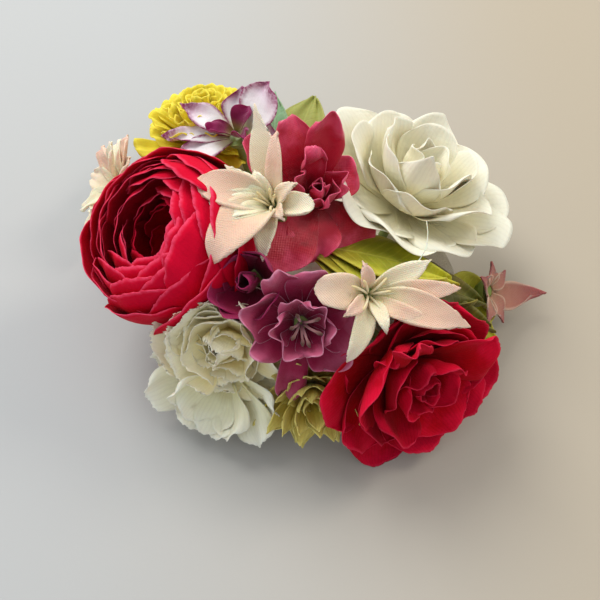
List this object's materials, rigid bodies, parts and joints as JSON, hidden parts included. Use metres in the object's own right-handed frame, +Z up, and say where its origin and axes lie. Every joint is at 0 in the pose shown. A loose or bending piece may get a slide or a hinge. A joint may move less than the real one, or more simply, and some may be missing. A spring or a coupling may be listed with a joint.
{
  "type": "flower hair clip",
  "caption": "Cluster of cloth blooms and leaves glued over a felt pad, with a sprung alligator clip underneath that grips a lock of hair.",
  "frame": {"origin": "centre of the felt pad in plan, on the surface that the clip lies on", "axes": "+X along the clip towards its jaw tips, +Y towards the back of the arrangement, +Z up through the blooms"},
  "size_m": [0.1346, 0.1021, 0.0586],
  "materials": {
    "felt": "pressed wool felt",
    "hot_glue": "set hot glue, cloudy",
    "clip_steel": "nickel-plated sheet",
    "pin_steel": "bright pin",
    "spring_steel": "drawn wire",
    "ranunculus_cloth": "printed polyester cloth, light edges",
    "ranunculus_heart_cloth": "printed polyester cloth",
    "rose_cloth": "satin polyester",
    "peony_cloth": "printed polyester cloth",
    "satin_cloth": "satin polyester with a sheen",
    "carnation_cloth": "frayed polyester cloth",
    "low_bloom_cloth": "sheer polyester cloth",
    "plum_cloth": "printed polyester cloth",
    "plum_bud_cloth": "printed polyester cloth",
    "stamen_thread": "stiffened thread",
    "star_cloth": "flocked cloth",
    "star_blush_cloth": "flocked cloth with a blush",
    "orchid_cloth": "printed polyester cloth",
    "mum_yellow_cloth": "polyester cloth",
    "mum_green_cloth": "polyester cloth",
    "leaf_lime_cloth": "printed polyester cloth",
    "leaf_olive_cloth": "printed polyester cloth",
    "leaf_blue_cloth": "printed polyester cloth",
    "calyx_plastic": "moulded polyethylene"
  },
  "bodies": {
    "arrangement": {"felt_base": "felt", "felt_backing": "felt", "glue_core": "hot_glue", "fixed_jaw": "clip_steel", "hinge_pin": "pin_steel", "spring_coil": "spring_steel", "ranunculus_outer_petals": "ranunculus_cloth", "ranunculus_inner_petals": "ranunculus_cloth", "ranunculus_heart": "ranunculus_heart_cloth", "ranunculus_calyx": "calyx_plastic", "rose_outer_petals": "rose_cloth", "rose_inner_petals": "rose_cloth", "rose_heart": "rose_cloth", "rose_calyx": "calyx_plastic", "peony_outer_petals": "peony_cloth", "peony_inner_petals": "peony_cloth", "peony_heart": "peony_cloth", "peony_calyx": "calyx_plastic", "satin_petals": "satin_cloth", "satin_heart": "satin_cloth", "satin_calyx": "calyx_plastic", "carnation_petals": "carnation_cloth", "carnation_calyx": "calyx_plastic", "low_bloom_petals": "low_bloom_cloth", "low_bloom_calyx": "calyx_plastic", "plum_petals": "plum_cloth", "plum_stamens": "stamen_thread", "plum_calyx": "calyx_plastic", "plum_bud_petals": "plum_bud_cloth", "plum_bud_calyx": "calyx_plastic", "star_top_petals": "star_cloth", "star_top_stamens": "stamen_thread", "star_top_calyx": "calyx_plastic", "star_left_petals": "star_cloth", "star_left_calyx": "calyx_plastic", "star_front_petals": "star_cloth", "star_front_stamens": "stamen_thread", "star_front_calyx": "calyx_plastic", "star_right_petals": "star_blush_cloth", "star_right_calyx": "calyx_plastic", "orchid_petals": "orchid_cloth", "orchid_lip": "orchid_cloth", "orchid_calyx": "calyx_plastic", "mum_yellow_florets": "mum_yellow_cloth", "mum_yellow_calyx": "calyx_plastic", "mum_green_florets": "mum_green_cloth", "mum_green_calyx": "calyx_plastic", "leaf_front_low": "leaf_lime_cloth", "leaf_front_mid": "leaf_lime_cloth", "leaf_front_dark": "leaf_olive_cloth", "leaf_back_wide": "leaf_lime_cloth", "leaf_back_tip": "leaf_blue_cloth", "leaf_right": "leaf_lime_cloth", "leaf_under": "leaf_olive_cloth"},
    "lever": {"lever_jaw": "clip_steel", "spring_lever_leg": "spring_steel"}
  },
  "joints": [
    {"name": "jaw_hinge", "type": "hinge", "parent": "arrangement", "child": "lever", "pos_m": [-0.006, 0, 0.0076], "axis": [0, 1, 0], "range_deg": [0, 18], "stiffness_Nm_per_rad": 0.25, "springref_deg": -34.38}
  ]
}
